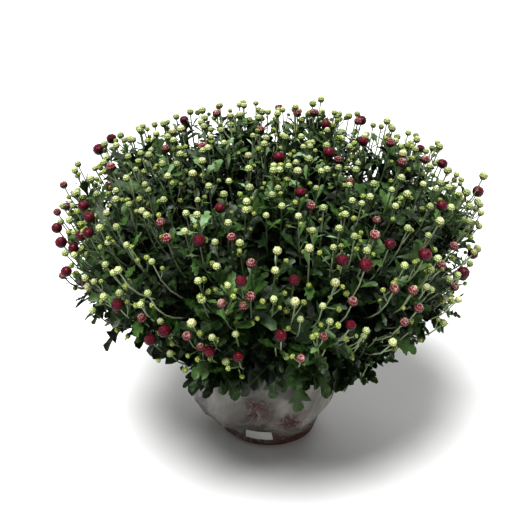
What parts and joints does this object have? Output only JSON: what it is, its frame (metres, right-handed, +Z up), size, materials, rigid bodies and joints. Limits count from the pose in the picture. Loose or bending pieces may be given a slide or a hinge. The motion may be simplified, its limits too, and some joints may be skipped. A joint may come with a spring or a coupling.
{
  "type": "pot chrysanthemum",
  "caption": "Garden mum in bud: a broad flat-topped dome of leafy stems with round buds, in a tapered plastic pot inside a loose film sleeve with a blank label.",
  "frame": {"origin": "centre of the pot's flat foot, on the surface that it stands on", "axes": "+Z up along the pot's axis; -Y towards the side with the label; +X to the right seen from that side"},
  "size_m": [0.4837, 0.4795, 0.3611],
  "materials": {
    "pot_plastic": "satin",
    "soil": "matte",
    "film": "satin",
    "label_paper": "matte",
    "foliage": "satin",
    "stems": "satin",
    "buds": "matte"
  },
  "bodies": {
    "root": {"pot": "pot_plastic", "soil": "soil", "film_sleeve": "film", "label": "label_paper", "leafy_stem_01": "foliage", "leafy_stem_02": "foliage", "leafy_stem_03": "foliage", "leafy_stem_04": "foliage", "leafy_stem_05": "foliage", "leafy_stem_06": "foliage", "leafy_stem_07": "foliage", "leafy_stem_08": "foliage", "leafy_stem_09": "foliage", "leafy_stem_10": "foliage", "leafy_stem_11": "foliage", "leafy_stem_12": "foliage", "leafy_stem_13": "foliage", "leafy_stem_14": "foliage", "leafy_stem_15": "foliage", "leafy_stem_16": "foliage", "leafy_stem_17": "foliage", "leafy_stem_18": "foliage", "leafy_stem_19": "foliage", "leafy_stem_20": "foliage", "leafy_stem_21": "foliage", "leafy_stem_22": "foliage", "leafy_stem_23": "foliage", "leafy_stem_24": "foliage", "leafy_stem_25": "foliage", "leafy_stem_26": "foliage", "leafy_stem_27": "foliage", "leafy_stem_28": "foliage", "leafy_stem_29": "foliage", "leafy_stem_30": "foliage", "leafy_stem_31": "foliage", "leafy_stem_32": "foliage"}
  },
  "joints": []
}
